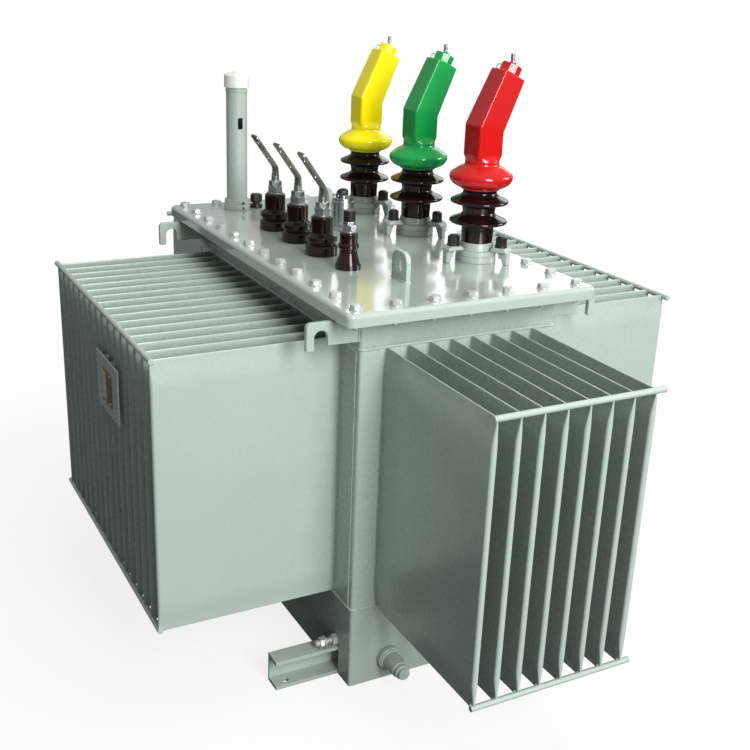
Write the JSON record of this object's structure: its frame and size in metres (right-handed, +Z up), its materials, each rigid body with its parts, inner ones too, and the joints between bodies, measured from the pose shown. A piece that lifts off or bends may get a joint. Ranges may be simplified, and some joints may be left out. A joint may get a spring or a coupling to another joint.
{
  "type": "power transformer",
  "caption": "Oil-filled distribution transformer with corrugated fin walls, bolted cover, porcelain bushings and coloured high-voltage boots.",
  "frame": {"origin": "on the ground under the middle of the tank, at the centre of the foot bolts", "axes": "+Z up, +X along the tank to the drain valve end, +Y to the high-voltage side"},
  "size_m": [1.5674, 1.1465, 1.1968],
  "materials": {
    "tank_paint": "gloss",
    "porcelain": "gloss",
    "bright_metal": "satin",
    "boot_yellow": "gloss",
    "boot_green": "gloss",
    "boot_red": "gloss",
    "white_plastic": "gloss",
    "black_plastic": "matte",
    "plate_metal": "satin"
  },
  "bodies": {
    "root": {"lower_tank": "tank_paint", "corner_posts": "tank_paint", "front_base_channel": "tank_paint", "rear_base_channel": "tank_paint", "left_fin_wall": "tank_paint", "right_fin_wall": "tank_paint", "front_fin_wall": "tank_paint", "rear_fin_wall": "tank_paint", "left_fin_bars": "tank_paint", "right_fin_bars": "tank_paint", "front_fin_bars": "tank_paint", "rear_fin_bars": "tank_paint", "tank_rim": "tank_paint", "cover": "tank_paint", "cover_lugs": "tank_paint", "lifting_hooks": "tank_paint", "lv_insulator_a": "porcelain", "lv_insulator_b": "porcelain", "lv_insulator_c": "porcelain", "neutral_insulator": "porcelain", "lv_terminal_a": "bright_metal", "lv_terminal_b": "bright_metal", "lv_terminal_c": "bright_metal", "neutral_terminal": "bright_metal", "hv_turret_a": "tank_paint", "hv_turret_b": "tank_paint", "hv_turret_c": "tank_paint", "hv_clamps_a": "tank_paint", "hv_clamps_b": "tank_paint", "hv_clamps_c": "tank_paint", "hv_insulator_a": "porcelain", "hv_insulator_b": "porcelain", "hv_insulator_c": "porcelain", "hv_boot_a": "boot_yellow", "hv_boot_b": "boot_green", "hv_boot_c": "boot_red", "hv_studs": "bright_metal", "filler_pipe": "tank_paint", "filler_cap": "white_plastic", "relief_valve": "bright_metal", "tap_changer": "black_plastic", "drain_valve": "tank_paint", "nameplate_bracket": "tank_paint", "nameplate": "plate_metal", "earth_stud": "bright_metal"}
  },
  "joints": []
}
